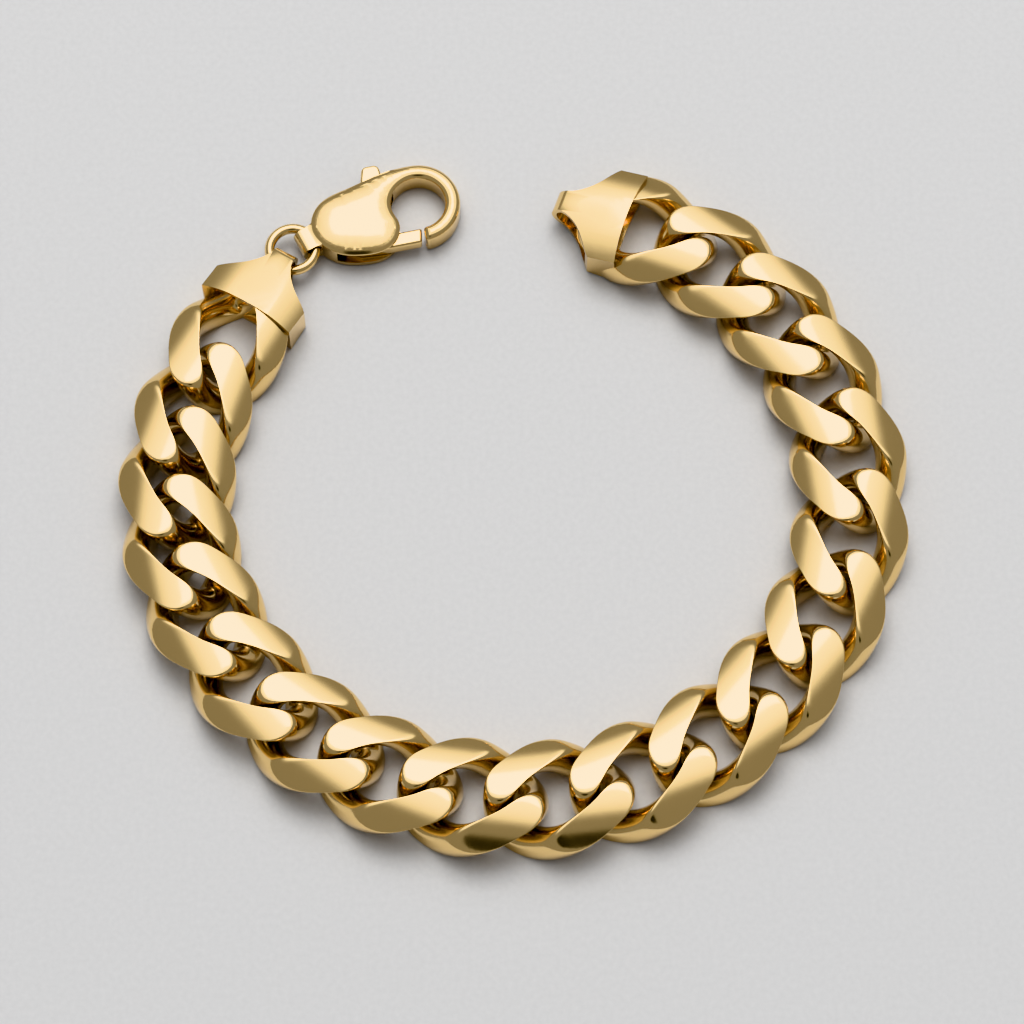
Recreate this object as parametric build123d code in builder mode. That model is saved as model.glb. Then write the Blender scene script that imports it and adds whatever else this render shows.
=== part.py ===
from build123d import *
import os
from math import sin, cos, pi, radians, degrees, atan2, hypot

os.makedirs("parts", exist_ok=True)

# A curb link bracelet lying open on a flat surface: twenty twisted links with filed
# top and bottom faces, a folded end cap soldered over each end link, a jump ring and
# a lobster claw clasp. Millimetres, +Z up, the surface at Z = 0.

# Links
link_count = 20
link_length = 14.6
link_width = 11.6
chain_thickness = 4.8
wire_half_width_side = 1.55
wire_half_width_end = 1.5
wire_half_width_lobe_extra = 0.1
wire_half_height_side = 1.9
wire_half_height_end = 1.6
twist_each_way = 57.0
twist_ease = 0.1
oval_squareness = 0.05
crown_radius = 11.0
sections_per_eighth = 5

# How the links lie
play_drawn = 0.35
play_at_cap = 0.5
second_link_gap = 0.2
pushed_joints = 3

# The chosen points of the line that the links follow, and its two end headings
route_points = [
    (-28.1, 17.2),
    (-32.8, -1.1),
    (-25.1, -18.4),
    (-9.2, -28.9),
    (9.8, -29.0),
    (25.7, -18.6),
    (33.2, -1.1),
    (28.3, 17.1),
    (13.6, 29.1),
]
route_start_heading = -120.5
route_end_heading = 160.0

# End caps
cap_length = 7.5
cap_width = 10.2
cap_mouth_hollow = 0.5
cap_shoulder = 2.3
cap_nose_width = 2.2
cap_nose_radius = 1.7
cap_nose_drop = 0.25
cap_wall = 0.5
cap_side_wall_length = 2.9
cap_step = 0.35
cap_crown_radius = 14.0
clasp_end_reach = 3.7
free_end_reach = 2.3

# Jump ring
ring_wire_radius = 0.5
ring_mean_radius = 2.3
ring_gap = 0.15

# Clasp. The tables hold shares of its length and of its width.
clasp_thickness = 3.5
clasp_length = 16.3
clasp_width = 8.6
clasp_heading = 12.0
clasp_offset = (1.25, 1.0)
clasp_outline = [
    (0.319, 0.471), (0.135, 0.337), (0.061, 0.047), (0.184, -0.308), (0.337, -0.395),
    (0.515, -0.355),
]
hook_centre_side = 1.15
hook_outer_radius = 4.25
hook_width = 1.5
hook_root_angle = 205.0
hook_top_round_share = 0.4
hook_bottom_round_share = 0.27
hook_tip_round_share = 0.23
neck_bearing = 16.0
neck_width = 2.3
neck_flare = 4.2
neck_step = 0.3
neck_start = 0.7
neck_straight = 1.5
neck_length = 4.6
ring_bore_gap = 0.25

# Clasp lever
lever_thickness = 1.5
lever_side_gap = 0.1
lever_edge_round = 0.3
lever_pivot = (0.307, -0.128)
lever_corner_round = 0.6
lever_outline = [
    (0.534, 0.058), (0.561, 0.488), (0.549, 0.733), (0.445, 0.733), (0.405, 0.453),
    (0.245, 0.023), (0.227, -0.221), (0.337, -0.337),
]
gate_root_share = 0.53
gate_width = 1.55
gate_gap = 0.15
gate_end_round = 0.2
pin_radius = 0.6
pin_gap = 0.12
cavity_outline = [
    (0.184, -0.6), (0.184, 0.035), (0.27, 0.756), (0.595, 0.756), (0.595, 0.349), (0.8, -0.6),
]

mid_height = chain_thickness / 2


def link_centre(angle):
    """Centre line of a link's wire: a blunt oval twisted along its length."""
    reach = link_length / 2 - wire_half_width_end
    spread = link_width / 2 - wire_half_width_side
    share = (cos(angle) - oval_squareness * cos(3 * angle)) / (1 - oval_squareness)
    flat = spread * (sin(angle) + oval_squareness * sin(3 * angle)) / (1 - oval_squareness)
    turn = radians(twist_each_way) * (share * (1 + twist_ease) - twist_ease * share**3)
    return Vector(reach * share, flat * cos(turn), -flat * sin(turn))


def wire_plane(angle):
    """Plane square to the wire, with its Y axis as upright as the wire allows."""
    step = 0.0001
    along = link_centre(angle + step) - link_centre(angle - step)
    return Plane(origin=link_centre(angle), x_dir=Vector(0, 0, 1).cross(along), z_dir=along)


def wire_radii(angle):
    side = sin(angle) ** 2
    lobe = sin(2 * angle) ** 2
    half_width = wire_half_width_end + (wire_half_width_side - wire_half_width_end) * side
    half_height = wire_half_height_end + (wire_half_height_side - wire_half_height_end) * side
    return half_width + wire_half_width_lobe_extra * lobe, half_height


# A quarter of the twisted wire, in two lofts
with BuildPart() as wire_quarter:
    for eighth in range(2):
        for section in range(sections_per_eighth):
            angle = (eighth + section / (sections_per_eighth - 1)) * pi / 4
            with BuildSketch(wire_plane(angle)):
                Ellipse(*wire_radii(angle))
        loft()

# One link, filed to a crown on top and flat underneath
with BuildPart() as link:
    add(wire_quarter.part)
    for axis in (Axis.X, Axis.Y, Axis.Z):
        add(wire_quarter.part.rotate(axis, 180))
    half_blank = link_width / 2 + wire_half_width_side
    crown_edge = mid_height - crown_radius + (crown_radius**2 - half_blank**2) ** 0.5
    with BuildSketch(Plane.YZ.offset(-link_length)):
        with BuildLine():
            Polyline(
                (-half_blank, crown_edge),
                (-half_blank, -mid_height),
                (half_blank, -mid_height),
                (half_blank, crown_edge),
            )
            ThreePointArc((half_blank, crown_edge), (0, mid_height), (-half_blank, crown_edge))
        make_face()
    extrude(amount=2 * link_length, mode=Mode.INTERSECT)

# The line of the chain, scaled so that the links just fill it. The pushed joints are
# close enough for every second link nearly to touch.
snug_pitch = link_length - 4 * wire_half_width_end
pitches = []
for joint in range(link_count - 1):
    if joint == 0:
        pitches.append(snug_pitch - play_at_cap)
    elif joint <= pushed_joints:
        pitches.append((link_length + second_link_gap) / 2)
    else:
        pitches.append(snug_pitch - play_drawn)


def heading_vector(heading):
    return Vector(cos(radians(heading)), sin(radians(heading)))


with BuildLine() as route:
    Spline(
        *route_points,
        tangents=[heading_vector(route_start_heading), heading_vector(route_end_heading)],
        tangent_scalars=[1.0, 1.0],
    )
route_edge = route.line.edges()[0]
route_scale = sum(pitches) / route_edge.length


def link_place(number):
    """Location of a link, counted from 1 at the clasp end."""
    share = min(1.0, sum(pitches[: number - 1]) / sum(pitches))
    point = route_edge.position_at(share) * route_scale
    tangent = route_edge.tangent_at(share)
    return Location(Plane(origin=(point.X, point.Y, mid_height), x_dir=tangent, z_dir=(0, 0, 1)))


# End cap: sheet folded round a nose, with its mouth at X = 0 and its nose towards +X
cap_top = mid_height + cap_step
cap_start = -2 * cap_mouth_hollow
nose_x = cap_length - cap_nose_radius
nose_z = -cap_nose_drop
cap_slope = degrees(atan2(nose_z + cap_nose_radius - cap_top, nose_x))


def cap_side_blank(inset):
    """Side view of the cap across its whole width, drawn in by the inset."""
    with BuildPart() as blank:
        with BuildSketch(Plane.XZ.offset(-cap_width)):
            with BuildLine():
                Line((cap_start, -mid_height + inset), (cap_start, cap_top - inset))
                CenterArc((nose_x, nose_z), cap_nose_radius - inset, 0, 360)
            make_hull()
        extrude(amount=2 * cap_width)
        crown_plane = Plane(
            origin=(0, 0, cap_top),
            x_dir=(0, 1, 0),
            z_dir=(cos(radians(cap_slope)), 0, sin(radians(cap_slope))),
        )
        with BuildSketch(crown_plane.offset(-cap_length)):
            with Locations((0, -cap_crown_radius)):
                Circle(cap_crown_radius - inset)
        extrude(amount=3 * cap_length, mode=Mode.INTERSECT)
    return blank.part


with BuildPart() as side_walls:
    for side in (1, -1):
        with BuildSketch(Plane.XY.offset(-chain_thickness)):
            with Locations((cap_side_wall_length / 2 + cap_start, side * cap_width / 2)):
                Rectangle(cap_side_wall_length - 2 * cap_start, 2 * cap_wall)
        extrude(amount=2 * chain_thickness)

with BuildPart() as cap_hollow:
    add(cap_side_blank(cap_wall))
    add(side_walls.part, mode=Mode.SUBTRACT)

with BuildPart() as cap_blank:
    with BuildSketch(Plane.XY.offset(-chain_thickness)):
        with BuildLine():
            ThreePointArc(
                (-cap_mouth_hollow, cap_width / 2), (0, 0), (-cap_mouth_hollow, -cap_width / 2)
            )
            for side in (1, -1):
                Line((-cap_mouth_hollow, side * cap_width / 2), (cap_shoulder, side * cap_width / 2))
                Spline(
                    (cap_shoulder, side * cap_width / 2),
                    ((cap_shoulder + nose_x) / 2, side * cap_width * 0.27),
                    (cap_length - 0.75 * cap_nose_radius, side * 0.55 * cap_nose_width),
                    (cap_length, side * cap_nose_width / 2),
                    tangents=[(1, -side), (1, 0)],
                )
            Line((cap_length, cap_nose_width / 2), (cap_length, -cap_nose_width / 2))
        make_face()
    extrude(amount=2 * chain_thickness)
    add(cap_side_blank(0), mode=Mode.INTERSECT)

# What is filed off the link inside the cap, down to the middle of the cap's wall
with BuildPart() as cap_filing:
    with Locations((cap_length - cap_mouth_hollow / 2, 0, 0)):
        Box(2 * cap_length, 2 * cap_width, 2 * chain_thickness)
    with BuildPart(mode=Mode.PRIVATE) as cap_core:
        add(cap_blank.part)
        add(cap_side_blank(cap_wall / 2), mode=Mode.INTERSECT)
    add(cap_core.part, mode=Mode.SUBTRACT)

with BuildPart() as end_cap:
    add(cap_blank.part)
    add(cap_hollow.part, mode=Mode.SUBTRACT)

# The cap soldered over the first link and over the last, with its nose outwards
clasp_end_place = link_place(1) * Rotation(0, 0, 180)
free_end_place = link_place(link_count)
with BuildPart() as clasp_end_cap:
    add(clasp_end_place * link.part)
    add(clasp_end_place * Pos(clasp_end_reach, 0, 0) * cap_filing.part, mode=Mode.SUBTRACT)
    add(clasp_end_place * Pos(clasp_end_reach, 0, 0) * end_cap.part)

with BuildPart() as free_end_cap:
    add(free_end_place * link.part)
    add(free_end_place * Pos(free_end_reach, 0, 0) * cap_filing.part, mode=Mode.SUBTRACT)
    add(free_end_place * Pos(free_end_reach, 0, 0) * end_cap.part)

# Jump ring, through the fold of the cap with its corners just inside the ring, at a
# height between the middles of the fold and of the clasp
clasp_mid = clasp_thickness / 2
clasp_top_round = hook_width * hook_top_round_share
clasp_bottom_round = hook_width * hook_bottom_round_share
hook_tip_round = hook_width * hook_tip_round_share
ring_height = (mid_height + nose_z + clasp_mid) / 2
fold_half_width = cap_nose_width / 2
ring_hole_radius = ring_mean_radius - ring_wire_radius
ring_reach = (
    clasp_end_reach
    + cap_length
    - cap_wall
    + ((ring_hole_radius - ring_gap) ** 2 - fold_half_width**2) ** 0.5
)
ring_point = (clasp_end_place * Pos(ring_reach, 0, 0)).position
ring_centre = Vector(ring_point.X, ring_point.Y, ring_height)
with BuildPart() as jump_ring:
    with Locations(Location(ring_centre)):
        Torus(ring_mean_radius, ring_wire_radius)

# Clasp, drawn in its own frame: +X along it from the ring, its underside at Z = 0
clasp_plane = Plane(
    origin=(ring_centre.X, ring_centre.Y, 0), x_dir=heading_vector(clasp_heading), z_dir=(0, 0, 1)
)
clasp_place = Location(clasp_plane) * Pos(*clasp_offset, 0)
hook_x = clasp_length - hook_outer_radius
hook_inner_radius = hook_outer_radius - hook_width
hook_y = hook_centre_side
pivot_x, pivot_y = clasp_length * lever_pivot[0], clasp_width * lever_pivot[1]
gate_reach = hook_x - pivot_x - gate_gap
gate_side = hook_y - (hook_outer_radius + hook_inner_radius) / 2


def clasp_points(shares):
    return [(clasp_length * x, clasp_width * y) for x, y in shares]


with BuildPart() as clasp_plate:
    with BuildSketch() as clasp_plan:
        with BuildLine():
            CenterArc((hook_x, hook_y), hook_outer_radius, -90, 180)
            opening = CenterArc((hook_x, hook_y), hook_inner_radius, -90, 90 + hook_root_angle)
            tip_edge = Line(
                (hook_x, hook_y - hook_inner_radius), (hook_x, hook_y - hook_outer_radius)
            )
            Spline(
                (hook_x, hook_y + hook_outer_radius),
                *clasp_points(clasp_outline),
                opening @ 1,
                tangents=[(-1, 0), -1 * (opening % 1)],
            )
        make_face()
        fillet(clasp_plan.vertices().sort_by_distance(tip_edge @ 0.5)[:2], hook_tip_round)
    extrude(amount=clasp_thickness)
    fillet(clasp_plate.faces().sort_by(Axis.Z)[-1].edges(), clasp_top_round)
    fillet(clasp_plate.faces().sort_by(Axis.Z)[0].edges(), clasp_bottom_round)

# The clasp's neck, aimed at the ring
neck_place = Pos(-clasp_offset[0], -clasp_offset[1], 0) * Rotation(0, 0, neck_bearing)
neck_radius = clasp_mid - neck_step
with BuildPart() as neck:
    with BuildSketch(Plane.XZ.offset(-neck_flare)):
        with BuildLine():
            CenterArc((neck_start + neck_radius, clasp_mid), neck_radius, 0, 360)
            CenterArc((neck_start + neck_length - neck_radius, clasp_mid), neck_radius, 0, 360)
        make_hull()
    extrude(amount=2 * neck_flare)
    with BuildSketch():
        with BuildLine():
            Polyline(
                (0, neck_width / 2),
                (neck_start + neck_straight, neck_width / 2),
                (neck_start + neck_length, neck_flare / 2),
                (neck_start + neck_length, -neck_flare / 2),
                (neck_start + neck_straight, -neck_width / 2),
                (0, -neck_width / 2),
                close=True,
            )
        make_face()
    extrude(amount=clasp_thickness, mode=Mode.INTERSECT)

with BuildPart() as ring_bore:
    with Locations((-clasp_offset[0], -clasp_offset[1], ring_height)):
        Torus(ring_mean_radius, ring_wire_radius + ring_bore_gap)

with BuildPart() as lever_cavity:
    with BuildSketch(Plane.XY.offset(clasp_mid - lever_thickness / 2 - lever_side_gap)):
        with BuildLine():
            Polyline(*clasp_points(cavity_outline), close=True)
        make_face()
    extrude(amount=lever_thickness + 2 * lever_side_gap)

with BuildPart() as clasp_body:
    add(clasp_plate.part)
    add(neck_place * neck.part)
    add(ring_bore.part, mode=Mode.SUBTRACT)
    add(lever_cavity.part, mode=Mode.SUBTRACT)
    with Locations((pivot_x, pivot_y, clasp_mid)):
        Cylinder(pin_radius, clasp_thickness - 2 * clasp_bottom_round)

# Lever: hub, gate and thumb tab, its gate ended where it swings clear of the hook
gate_x = clasp_length * gate_root_share
gate_end = []
for side in (-gate_width / 2, gate_width / 2):
    rise = gate_side + side - pivot_y
    gate_end.append((pivot_x + (gate_reach**2 - rise**2) ** 0.5, gate_side + side))
with BuildPart() as clasp_lever:
    with BuildSketch(Plane.XY.offset(clasp_mid - lever_thickness / 2)) as lever_plan:
        with BuildLine():
            Polyline(
                (gate_x, gate_side - gate_width / 2),
                *gate_end,
                (gate_x, gate_side + gate_width / 2),
                *clasp_points(lever_outline),
                close=True,
            )
        make_face()
        fillet(lever_plan.vertices().sort_by(Axis.X)[:-2], lever_corner_round)
        fillet(lever_plan.vertices().sort_by(Axis.X)[-2:], gate_end_round)
    extrude(amount=lever_thickness)
    fillet(clasp_lever.faces().sort_by(Axis.Z)[-1].edges(), lever_edge_round)
    fillet(clasp_lever.faces().sort_by(Axis.Z)[0].edges(), lever_edge_round)
    with Locations((pivot_x, pivot_y, clasp_mid)):
        Cylinder(pin_radius + pin_gap, 2 * lever_thickness, mode=Mode.SUBTRACT)

# Everything in place, then moved so that the middle of its footprint is the origin
pieces = {"clasp_end_cap": clasp_end_cap.part, "free_end_cap": free_end_cap.part}
for number in range(2, link_count):
    pieces[f"link_{number:02d}"] = link_place(number) * link.part
pieces["jump_ring"] = jump_ring.part
pieces["clasp_body"] = clasp_place * clasp_body.part
pieces["clasp_lever"] = clasp_place * clasp_lever.part

boxes = [piece.bounding_box() for piece in pieces.values()]
middle_x = (min(box.min.X for box in boxes) + max(box.max.X for box in boxes)) / 2
middle_y = (min(box.min.Y for box in boxes) + max(box.max.Y for box in boxes)) / 2
for name, piece in pieces.items():
    with BuildPart() as placed:
        add(Pos(-middle_x, -middle_y, 0) * piece)
    placed.part.label = name
    export_step(placed.part, f"parts/{name}.step")
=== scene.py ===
import bpy
import numpy as np
from collections import Counter
from math import sin, cos, pi, radians, atan2, exp
from mathutils import Matrix, Vector
from mathutils.bvhtree import BVHTree
from mathutils.kdtree import KDTree


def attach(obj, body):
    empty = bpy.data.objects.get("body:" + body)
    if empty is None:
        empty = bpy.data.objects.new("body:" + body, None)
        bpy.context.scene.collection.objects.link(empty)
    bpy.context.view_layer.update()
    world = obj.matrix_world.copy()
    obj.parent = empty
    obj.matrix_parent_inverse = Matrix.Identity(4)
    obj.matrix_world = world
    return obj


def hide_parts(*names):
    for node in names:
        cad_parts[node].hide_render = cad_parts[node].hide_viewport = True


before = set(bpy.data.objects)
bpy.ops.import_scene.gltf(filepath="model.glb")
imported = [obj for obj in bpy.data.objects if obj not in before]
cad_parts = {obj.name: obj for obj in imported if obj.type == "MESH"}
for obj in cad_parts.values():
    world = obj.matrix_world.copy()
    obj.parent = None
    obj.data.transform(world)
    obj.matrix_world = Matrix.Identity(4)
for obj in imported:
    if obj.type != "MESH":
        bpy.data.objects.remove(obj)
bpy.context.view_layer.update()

MM = 0.001

# Lengths are in millimetres and angles in degrees, unless a comment says otherwise.

# Links, as in the source of the solids
link_length, link_width, thickness = 14.6, 11.6, 4.8
half_side, half_end, half_lobe = 1.55, 1.5, 0.1
tall_side, tall_end = 1.9, 1.6
twist, twist_ease, squareness = 57.0, 0.1, 0.05
crown_radius = 11.0

# The torus that a link is shaped from, and the fineness of its filing and buffing
blank_radius, blank_wire = 5.0, 1.5
link_rings, ring_points = 144, 84
outline_points = 721
small_turn = 1e-4
buffing_passes = 4

# Camera
camera_height_angle = 69.0
camera_distance = 400.0
camera_lens, camera_sensor = 142.875, 36.0
camera_aim = (-0.1162, -0.3745, 0.0)
camera_clip = (0.01, 20.0)  # metres
floor_size = 4.0  # metres

# End caps, as in the source of the solids
cap_step, cap_wall, cap_crown = 0.35, 0.5, 14.0
cap_fall, cap_rise = 0.224, 0.078

# For each end cap: the middle of its link, the way that its nose points, and how far
# along the link its mouth is
end_caps = {
    "clasp_end_cap": ((-28.2054, 16.8189), 59.5, 3.7),
    "free_end_cap": ((13.4786, 28.7144), 160.0, 2.3),
}

# The solid's own link skin is sunk under the buffed one: how far, and how near to it the
# skin lies outside the cap and inside
skin_sunk = 0.12
skin_near_outside, skin_near_inside = 0.3, 0.04
mouth_margin = 0.6
roof_share = 0.6

# Clasp: its corner, its way along, its sizes and the hollow for its lever
clasp_corner = (-21.1358, 28.3360)
clasp_heading = 12.0
clasp_length, clasp_thickness = 16.3, 3.5
hollow_roof, hollow_fade = 2.6, (9.8, 12.0)

# The dome that is polished into the clasp's top: how far it falls from its middle, and
# how far more towards the rim. The grid that the flat top is cut into carries it.
clasp_dome, clasp_dome_middle, clasp_dome_reach = 0.46, (5.2, 0.6), (5.0, 3.9)
clasp_pillow, clasp_pillow_reach = 0.2, 1.7
clasp_grid, grid_start, grid_sides = 0.3, 0.5, (-4.5, 5.5)
rim_spots = 8
flat_enough, top_margin = 0.99, 0.1

shading_angle = 32.0
merge_distance = 0.001

# World: the big light's height angle, where its edges fade as slopes from its middle, and
# strengths where the paper's own brightness is about one. The dark patch is low on the
# viewer's side, and its edge is given as cosines of the angle from its middle.
light_height_angle = 65.0
light_edge_across = (0.20, 0.90)
light_edge_upward = (0.26, 0.88)
light_strength, dome_strength = 2.3, 0.31
patch_height_angle = 53.0
patch_edge = (0.974, 0.990)
patch_darkness = 0.04

# Softbox: place and size in metres, power in watts
key_place, key_size, key_power = (0, 0.33, 0.68), 0.42, 2.2


def srgb(code):
    """A hex colour as the linear RGBA that Blender's sockets take."""
    parts = [int(code[i:i + 2], 16) / 255 for i in (1, 3, 5)]
    return [p / 12.92 if p <= 0.04045 else ((p + 0.055) / 1.055) ** 2.4 for p in parts] + [1.0]


def add_node(tree, kind, settings=None, sockets=None):
    """One node. sockets maps an input's name or number to a value or to what feeds it."""
    node = tree.nodes.new(kind)
    for key, value in (settings or {}).items():
        setattr(node, key, value)
    for key, value in (sockets or {}).items():
        if isinstance(value, bpy.types.NodeSocket):
            tree.links.new(value, node.inputs[key])
        else:
            node.inputs[key].default_value = value
    return node


def empty_material(name):
    mat = bpy.data.materials.new(name)
    mat.use_nodes = True
    mat.node_tree.nodes.clear()
    return mat


def deselect():
    if bpy.context.object and bpy.context.object.mode != "OBJECT":
        bpy.ops.object.mode_set(mode="OBJECT")
    bpy.ops.object.select_all(action="DESELECT")


def select(obj):
    deselect()
    obj.select_set(True)
    bpy.context.view_layer.objects.active = obj


def make_gold():
    # 14 carat yellow gold, tumbled and buffed: a warm mirror whose sharpness drifts in
    # patches of about 2.2 mm, with painted shade: browner and darker in recesses and between
    # links.
    # Real polishing marks are finer than a pixel, so they are drawn 0.56 mm coarse.
    mat = empty_material("buffed_14ct_gold")
    tree = mat.node_tree
    place = add_node(tree, "ShaderNodeTexCoord").outputs["Object"]
    haze = add_node(
        tree, "ShaderNodeTexNoise", None, {"Vector": place, "Scale": 450.0, "Detail": 4.0}
    )
    rough = add_node(
        tree, "ShaderNodeMapRange", None,
        {"Value": haze.outputs["Fac"], "To Min": 0.09, "To Max": 0.17},
    )
    marks = add_node(
        tree, "ShaderNodeTexNoise", None, {"Vector": place, "Scale": 1800.0, "Detail": 3.0}
    )
    bump = add_node(
        tree, "ShaderNodeBump", None,
        {"Height": marks.outputs["Fac"], "Strength": 0.05, "Distance": 0.00003},
    )
    # Painted shade: ambient occlusion within 2.5 mm mixes the colour towards dark brown #B0966A
    # in recesses.
    painted_recess_shade = add_node(
        tree, "ShaderNodeAmbientOcclusion", {"samples": 6}, {"Distance": 2.5 * MM}
    )
    unshaded_share = add_node(
        tree, "ShaderNodeMapRange", None,
        {"Value": painted_recess_shade.outputs["AO"], "From Min": 0.25, "From Max": 0.85},
    )
    colour = add_node(
        tree, "ShaderNodeMix", {"data_type": "RGBA"},
        {0: unshaded_share.outputs["Result"], 6: srgb("#B0966A"), 7: srgb("#F9D798")},
    )
    shader = add_node(
        tree, "ShaderNodeBsdfPrincipled", None,
        {
            "Base Color": colour.outputs[2], "Roughness": rough.outputs["Result"],
            "Normal": bump.outputs["Normal"], "Metallic": 1.0,
        },
    )
    add_node(tree, "ShaderNodeOutputMaterial", None, {"Surface": shader.outputs["BSDF"]})
    return mat


def make_paper():
    # Matt seamless background paper: pale grey, with a fine tooth of about half a
    # millimetre that only shows close by.
    mat = empty_material("matt_background_paper")
    tree = mat.node_tree
    place = add_node(tree, "ShaderNodeTexCoord").outputs["Object"]
    tooth = add_node(
        tree, "ShaderNodeTexNoise", None, {"Vector": place, "Scale": 1800.0, "Detail": 4.0}
    )
    colour = add_node(
        tree, "ShaderNodeMix", {"data_type": "RGBA"},
        {0: tooth.outputs["Fac"], 6: srgb("#CDCCCB"), 7: srgb("#D9D8D7")},
    )
    bump = add_node(
        tree, "ShaderNodeBump", None,
        {"Height": tooth.outputs["Fac"], "Strength": 0.25, "Distance": 0.00005},
    )
    shader = add_node(
        tree, "ShaderNodeBsdfPrincipled", None,
        {
            "Base Color": colour.outputs[2], "Normal": bump.outputs["Normal"],
            "Roughness": 0.9, "Specular IOR Level": 0.1,
        },
    )
    add_node(tree, "ShaderNodeOutputMaterial", None, {"Surface": shader.outputs["BSDF"]})
    return mat


def make_camera():
    elevation = radians(camera_height_angle)
    data = bpy.data.cameras.new("camera")
    data.lens = camera_lens
    data.sensor_width = camera_sensor
    data.clip_start, data.clip_end = camera_clip
    camera = bpy.data.objects.new("camera", data)
    bpy.context.scene.collection.objects.link(camera)
    away = Vector((0, -cos(elevation), sin(elevation)))
    camera.location = Vector(camera_aim) * MM + away * camera_distance * MM
    camera.rotation_euler = (pi / 2 - elevation, 0, 0)
    bpy.context.scene.camera = camera


def make_floor(paper):
    deselect()
    bpy.ops.mesh.primitive_plane_add(size=floor_size, location=(0, 0, 0))
    floor = bpy.context.object
    floor.name = "floor"
    floor.data.materials.append(paper)


def make_world():
    """White studio: a dim dome, a large soft-edged light over the back of the table, and
    a dark patch low on the viewer's side."""
    world = bpy.data.worlds.new("studio")
    bpy.context.scene.world = world
    world.use_nodes = True
    tree = world.node_tree
    tree.nodes.clear()
    way = add_node(tree, "ShaderNodeTexCoord").outputs["Generated"]
    dot, smooth = {"operation": "DOT_PRODUCT"}, {"interpolation_type": "SMOOTHSTEP"}
    times = {"operation": "MULTIPLY"}

    high = radians(light_height_angle)
    ahead = add_node(tree, "ShaderNodeVectorMath", dot, {0: way, 1: (0, cos(high), sin(high))})
    depth = add_node(
        tree, "ShaderNodeMath", {"operation": "MAXIMUM"}, {0: ahead.outputs["Value"], 1: 0.001}
    )
    shares = []
    for axis, fade in (
        ((1, 0, 0), light_edge_across), ((0, -sin(high), cos(high)), light_edge_upward)
    ):
        offset = add_node(tree, "ShaderNodeVectorMath", dot, {0: way, 1: axis})
        slope = add_node(
            tree, "ShaderNodeMath", {"operation": "DIVIDE"},
            {0: offset.outputs["Value"], 1: depth.outputs["Value"]},
        )
        size = add_node(
            tree, "ShaderNodeMath", {"operation": "ABSOLUTE"}, {0: slope.outputs["Value"]}
        )
        shares.append(add_node(tree, "ShaderNodeMapRange", smooth, {
            "Value": size.outputs["Value"], "From Min": fade[0], "From Max": fade[1],
            "To Min": 1.0, "To Max": 0.0,
        }).outputs["Result"])
    box = add_node(tree, "ShaderNodeMath", times, {0: shares[0], 1: shares[1]})
    glow = add_node(tree, "ShaderNodeMapRange", None, {
        "Value": box.outputs["Value"], "To Min": dome_strength, "To Max": light_strength,
    })

    low = radians(patch_height_angle)
    facing = add_node(tree, "ShaderNodeVectorMath", dot, {0: way, 1: (0, -cos(low), sin(low))})
    patch = add_node(tree, "ShaderNodeMapRange", smooth, {
        "Value": facing.outputs["Value"], "From Min": patch_edge[0], "From Max": patch_edge[1],
        "To Min": 1.0, "To Max": patch_darkness,
    })
    total = add_node(
        tree, "ShaderNodeMath", times, {0: glow.outputs["Result"], 1: patch.outputs["Result"]}
    )
    back = add_node(
        tree, "ShaderNodeBackground", None,
        {"Color": srgb("#FCFDFF"), "Strength": total.outputs["Value"]},
    )
    add_node(tree, "ShaderNodeOutputWorld", None, {"Surface": back.outputs["Background"]})


def make_softbox():
    """A square softbox aimed at the bracelet."""
    light = bpy.data.lights.new("key", "AREA")
    light.size = key_size
    light.energy = key_power
    box = bpy.data.objects.new("key", light)
    bpy.context.scene.collection.objects.link(box)
    box.location = key_place
    box.rotation_euler = (-Vector(key_place)).to_track_quat("-Z", "Y").to_euler()


def wire_centre(angle):
    """Centre line of a link's wire: a blunt oval twisted along its length."""
    reach = link_length / 2 - half_end
    spread = link_width / 2 - half_side
    share = (np.cos(angle) - squareness * np.cos(3 * angle)) / (1 - squareness)
    flat = spread * (np.sin(angle) + squareness * np.sin(3 * angle)) / (1 - squareness)
    turn = radians(twist) * (share * (1 + twist_ease) - twist_ease * share**3)
    return np.stack([reach * share, flat * np.cos(turn), -flat * np.sin(turn)], -1)


def crown_height(y):
    """Height of the filed crown over the link's middle."""
    return thickness / 2 - crown_radius + np.sqrt(crown_radius**2 - y**2)


def lay_flat(points, turns, section, above, level, middle):
    """Lay the part of each section that stands above a filed face onto that face.

    section gives a section's points for a set of turns, above how far they stand above
    the face, and level the face's height at their sides."""
    low = middle - pi
    order = (turns - low) % (2 * pi) + low
    finely = low + np.linspace(0, 2 * pi, outline_points)
    for ring in range(points.shape[0]):
        outline = section(ring, finely)
        over = above(outline)
        if over.max() <= 0:
            continue
        first, last = np.flatnonzero(over > 0)[[0, -1]]
        start, end = finely[first], finely[last]
        start -= (finely[1] - finely[0]) * over[first] / (over[first] - over[first - 1])
        end += (finely[1] - finely[0]) * over[last] / (over[last] - over[last + 1])
        rim = section(ring, np.array([start, end]))
        hit = (order[ring] > start) & (order[ring] < end)
        share = (1 - np.cos((order[ring][hit] - start) / (end - start) * pi)) / 2
        laid = rim[0] + (rim[1] - rim[0]) * share[:, None]
        laid[:, 2] = level(laid[:, 1])
        points[ring][hit] = laid


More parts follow.
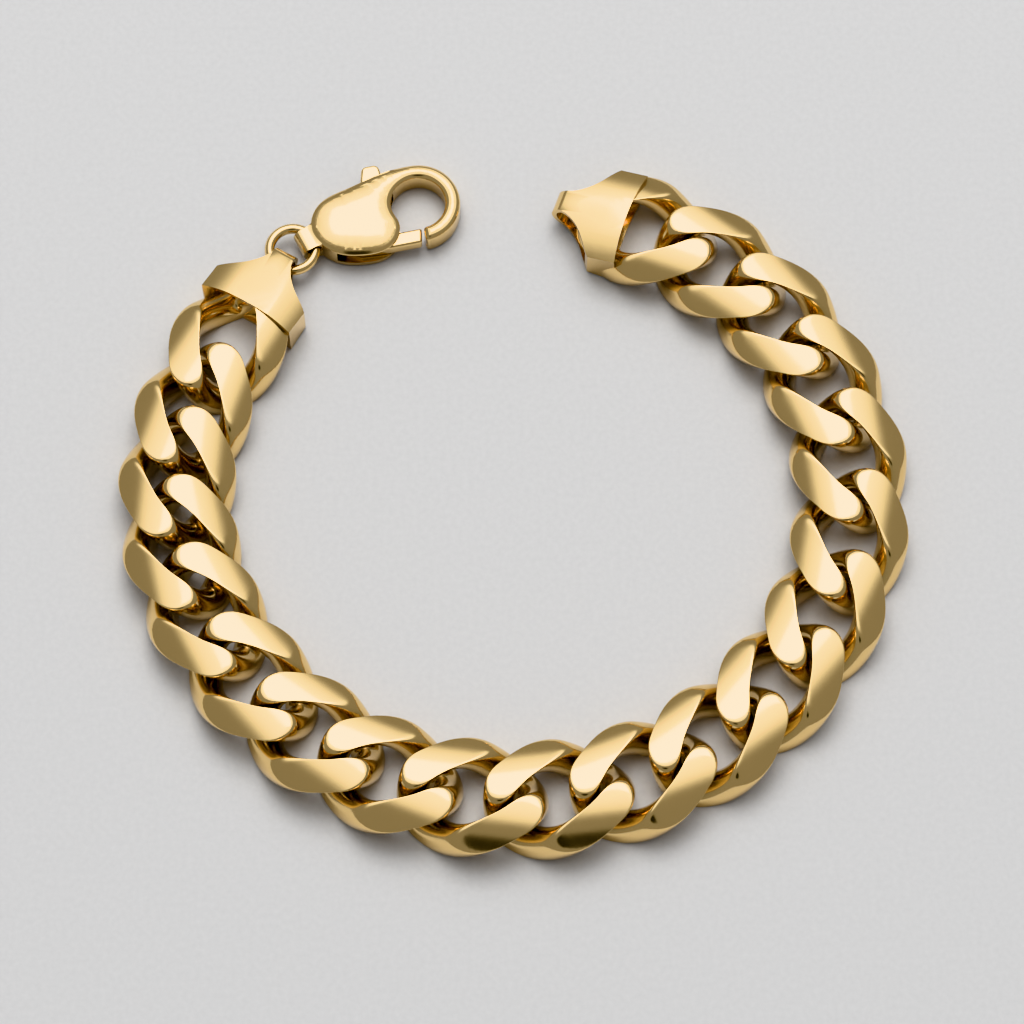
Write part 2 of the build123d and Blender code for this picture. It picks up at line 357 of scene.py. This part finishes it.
def make_link(gold):
    """One link about the origin: a torus bent to the twisted oval, then filed and buffed."""
    deselect()
    bpy.ops.mesh.primitive_torus_add(
        major_segments=link_rings, minor_segments=ring_points,
        major_radius=blank_radius * MM, minor_radius=blank_wire * MM,
    )
    link = bpy.context.object
    start = np.array([vertex.co[:] for vertex in link.data.vertices]) / MM
    start = start.reshape(link_rings, ring_points, 3)
    angle = np.arctan2(start[:, 0, 1], start[:, 0, 0])
    turns = np.arctan2(
        start[:, :, 2], np.hypot(start[:, :, 0], start[:, :, 1]) - blank_radius
    )
    centre = wire_centre(angle)
    along = wire_centre(angle + small_turn) - wire_centre(angle - small_turn)
    side = np.cross(along, (0, 0, 1.0))
    side /= np.linalg.norm(side, axis=1)[:, None]
    up = np.cross(side, along)
    up /= np.linalg.norm(up, axis=1)[:, None]
    wide = half_end + (half_side - half_end) * np.sin(angle) ** 2
    wide += half_lobe * np.sin(2 * angle) ** 2
    tall = tall_end + (tall_side - tall_end) * np.sin(angle) ** 2

    def section(ring, at):
        return (
            centre[ring]
            + side[ring] * wide[ring] * np.cos(at)[:, None]
            + up[ring] * tall[ring] * np.sin(at)[:, None]
        )

    points = np.array([section(ring, turns[ring]) for ring in range(link_rings)])
    lay_flat(
        points, turns, section, lambda p: p[:, 2] - crown_height(p[:, 1]), crown_height, pi / 2
    )
    lay_flat(
        points, turns, section,
        lambda p: -thickness / 2 - p[:, 2], lambda y: -thickness / 2, -pi / 2,
    )
    for _ in range(buffing_passes):
        points = (np.roll(points, 1, 1) + 2 * points + np.roll(points, -1, 1)) / 4
    for _ in range(buffing_passes // 2):
        points = (np.roll(points, 1, 0) + 2 * points + np.roll(points, -1, 0)) / 4
    for vertex, co in zip(link.data.vertices, points.reshape(-1, 3) * MM):
        vertex.co = co
    bpy.ops.object.shade_smooth()
    link.data.materials.append(gold)
    return link


def moments(mesh):
    """Centre of volume and heading of the long axis, whatever the triangles."""
    mesh.calc_loop_triangles()
    points = np.array([v.co[:] for v in mesh.vertices]) / MM
    tris = points[np.array([t.vertices[:] for t in mesh.loop_triangles])]
    a, b, c = tris[:, 0], tris[:, 1], tris[:, 2]
    det = np.einsum("ij,ij->i", a, np.cross(b, c))
    total = a + b + c
    volume = det.sum() / 6
    centre = (det[:, None] * total).sum(0) / 24 / volume
    second = np.einsum("i,ij,ik->jk", det, total, total)
    for corner in (a, b, c):
        second += np.einsum("i,ij,ik->jk", det, corner, corner)
    second = second / 120 / volume - np.outer(centre, centre)
    return centre, 0.5 * atan2(2 * second[0, 1], second[0, 0] - second[1, 1])


def placement(x, y, turn):
    """Where a link stands on the surface, turned by so many radians."""
    spot = Matrix.Translation((x * MM, y * MM, thickness / 2 * MM))
    return spot @ Matrix.Rotation(turn, 4, "Z")


def place_links(link_form):
    """A buffed link in the place of each curb link's solid."""
    _, form_heading = moments(link_form.data)
    for name in sorted(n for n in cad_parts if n.startswith("link_")):
        centre, heading = moments(bpy.data.objects[name].data)
        mesh = link_form.data.copy()
        mesh.transform(placement(centre[0], centre[1], heading - form_heading))
        piece = bpy.data.objects.new(name.replace("link", "filed_link"), mesh)
        bpy.context.scene.collection.objects.link(piece)
        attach(piece, "bracelet")
        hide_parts(name)


def take_copy(name, gold):
    """A closed copy of a CAD piece's mesh, with its own shading."""
    piece = bpy.data.objects.new("finished_" + name, bpy.data.objects[name].data.copy())
    bpy.context.scene.collection.objects.link(piece)
    select(piece)
    bpy.ops.mesh.customdata_custom_splitnormals_clear()
    bpy.ops.object.mode_set(mode="EDIT")
    bpy.ops.mesh.select_all(action="SELECT")
    bpy.ops.mesh.remove_doubles(threshold=merge_distance * MM)
    bpy.ops.mesh.normals_make_consistent(inside=False)
    bpy.ops.object.mode_set(mode="OBJECT")
    piece.data.materials.clear()
    piece.data.materials.append(gold)
    return piece


def hand_over(piece, name):
    """Smooth the piece's shading and let it stand for the CAD node."""
    select(piece)
    bpy.ops.object.shade_smooth_by_angle(angle=radians(shading_angle))
    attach(piece, "lever" if name == "clasp_lever" else "bracelet")
    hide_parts(name)


def finish_cap(name, link_form, gold):
    """An end cap: the CAD sheet, and a buffed link soldered into it."""
    place, heading, reach = end_caps[name]
    piece = take_copy(name, gold)
    link = link_form.data.copy()
    points = np.array([vertex.co[:] for vertex in link.vertices]) / MM
    inside = np.maximum(points[:, 0] - reach, 0)
    roof = thickness / 2 + cap_step - cap_fall * inside - points[:, 1] ** 2 / (2 * cap_crown)
    ground = -thickness / 2 + cap_rise * inside
    held = points[:, 0] > reach
    low = np.where(held, ground + cap_wall / 2, points[:, 2])
    high = np.where(held, roof - cap_wall * roof_share, points[:, 2])
    points[:, 2] = np.clip(points[:, 2], np.minimum(low, high), np.maximum(low, high))
    for vertex, co in zip(link.vertices, points * MM):
        vertex.co = co
    to_world = placement(*place, radians(heading))
    link.transform(to_world)

    skin = BVHTree.FromPolygons(
        [vertex.co[:] for vertex in link.vertices], [face.vertices[:] for face in link.polygons]
    )
    to_cap = to_world.inverted()
    for vertex in piece.data.vertices:
        spot, normal, _, away_by = skin.find_nearest(vertex.co)
        outside = (to_cap @ vertex.co).x < (reach - mouth_margin) * MM
        if away_by < (skin_near_outside if outside else skin_near_inside) * MM:
            vertex.co = spot - normal * skin_sunk * MM

    link_piece = bpy.data.objects.new("soldered_link", link)
    bpy.context.scene.collection.objects.link(link_piece)
    select(piece)
    link_piece.select_set(True)
    bpy.ops.object.join()
    hand_over(piece, name)


def is_flat_top(face):
    return face.normal.z > flat_enough and face.center.z > (clasp_thickness - top_margin) * MM


def finish_clasp_body(gold):
    """The claw's body, its flat top cut fine and domed as the polisher leaves it."""
    piece = take_copy("clasp_body", gold)
    turn = radians(clasp_heading)
    ahead = Vector((cos(turn), sin(turn), 0))
    left = Vector((-sin(turn), cos(turn), 0))
    corner = Vector((clasp_corner[0] * MM, clasp_corner[1] * MM, 0))
    for axis, first, last in ((ahead, grid_start, clasp_length), (left, *grid_sides)):
        for step in np.arange(first, last, clasp_grid):
            for face in piece.data.polygons:
                face.select = is_flat_top(face)
            bpy.ops.object.mode_set(mode="EDIT")
            bpy.ops.mesh.bisect(
                plane_co=corner + axis * step * MM, plane_no=axis,
                threshold=merge_distance * MM,
            )
            bpy.ops.object.mode_set(mode="OBJECT")

    flat_top = [face for face in piece.data.polygons if is_flat_top(face)]
    uses = Counter(key for face in flat_top for key in face.edge_keys)
    rim_edges = [key for key, count in uses.items() if count == 1]
    rim = KDTree(len(rim_edges) * rim_spots)
    for first, last in rim_edges:
        for share in np.linspace(0, 1, rim_spots):
            spot = piece.data.vertices[first].co.lerp(piece.data.vertices[last].co, share)
            rim.insert(spot, 0)
    rim.balance()
    on_top = {index for face in flat_top for index in face.vertices}
    for vertex in piece.data.vertices:
        off = vertex.co - corner
        along = off.dot(ahead) / MM
        x = (along - clasp_dome_middle[0]) / clasp_dome_reach[0]
        y = (off.dot(left) / MM - clasp_dome_middle[1]) / clasp_dome_reach[1]
        to_rim = rim.find(vertex.co)[2] / MM if vertex.index in on_top else 0
        over = min(max((hollow_fade[1] - along) / (hollow_fade[1] - hollow_fade[0]), 0), 1)
        low = clasp_thickness / 2 + over * (hollow_roof - clasp_thickness / 2)
        lift = min(max((vertex.co.z / MM - low) / (clasp_thickness - low), 0), 1)
        drop = clasp_dome * (1 - exp(-x * x - y * y))
        drop += clasp_pillow * max(1 - to_rim / clasp_pillow_reach, 0) ** 2
        vertex.co.z -= drop * lift * lift * (3 - 2 * lift) * MM
    hand_over(piece, "clasp_body")


gold = make_gold()
make_camera()
make_floor(make_paper())
make_world()
make_softbox()
bpy.context.scene.view_settings.view_transform = "Khronos PBR Neutral"

link_form = make_link(gold)
place_links(link_form)
for name in end_caps:
    finish_cap(name, link_form, gold)
finish_clasp_body(gold)
for name in ("jump_ring", "clasp_lever"):
    hand_over(take_copy(name, gold), name)
bpy.data.objects.remove(link_form)
